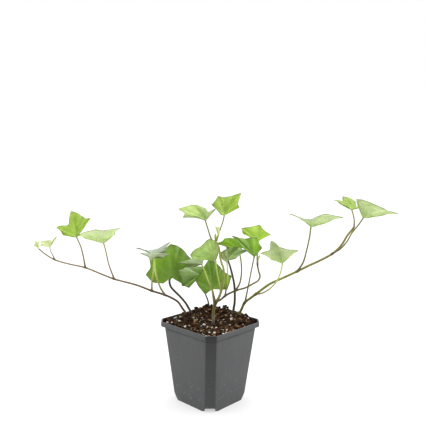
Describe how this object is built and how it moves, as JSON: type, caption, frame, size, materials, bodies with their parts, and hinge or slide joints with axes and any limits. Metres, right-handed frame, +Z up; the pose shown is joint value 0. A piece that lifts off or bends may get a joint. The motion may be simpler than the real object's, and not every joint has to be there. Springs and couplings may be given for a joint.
{
  "type": "potted ivy",
  "caption": "Young trailing ivy in a square tapered nursery pot: lobed leaves on long stalks along two runners and a middle clump, in bark compost.",
  "frame": {"origin": "centre of the pot's underside, on the surface it stands on", "axes": "+Z up, +X along the two long runners, towards the taller one; a corner of the pot faces -Y"},
  "size_m": [0.4174, 0.115, 0.2432],
  "materials": {
    "pot_plastic": "dark grey moulded plastic, satin, with a faint grain",
    "compost": "rough bark and peat bits with white perlite grains",
    "cane": "satin bark, brown on the canes and pale green on the young stalks",
    "leaf_young": "bright yellow-green, satin, with raised pale veins",
    "leaf_pale": "pale matt green, thin enough to glow against the light",
    "leaf_grown": "mid to dark green, waxy, with pale veins"
  },
  "bodies": {
    "root": {"pot": "pot_plastic", "soil": "compost", "stem_left_runner": "cane", "stem_back_left": "cane", "stem_back": "cane", "stem_centre": "cane", "stem_right_thick": "cane", "stem_right_runner": "cane", "leaf_left_1": "leaf_young", "leaf_left_2": "leaf_pale", "leaf_left_3": "leaf_young", "leaf_left_4": "leaf_pale", "leaf_left_5": "leaf_grown", "leaf_left_6": "leaf_grown", "leaf_back_left": "leaf_grown", "leaf_back": "leaf_grown", "leaf_mid_left_high": "leaf_grown", "leaf_front": "leaf_grown", "leaf_centre_pale": "leaf_pale", "leaf_top_left": "leaf_pale", "leaf_top_right": "leaf_young", "leaf_top_bud": "leaf_young", "leaf_right_high": "leaf_young", "leaf_small_mid": "leaf_pale", "leaf_behind": "leaf_grown", "leaf_right_thick": "leaf_grown", "leaf_right_1": "leaf_grown", "leaf_right_2": "leaf_pale", "leaf_right_3": "leaf_pale", "leaf_right_4": "leaf_young", "leaf_right_5": "leaf_pale"}
  },
  "joints": []
}
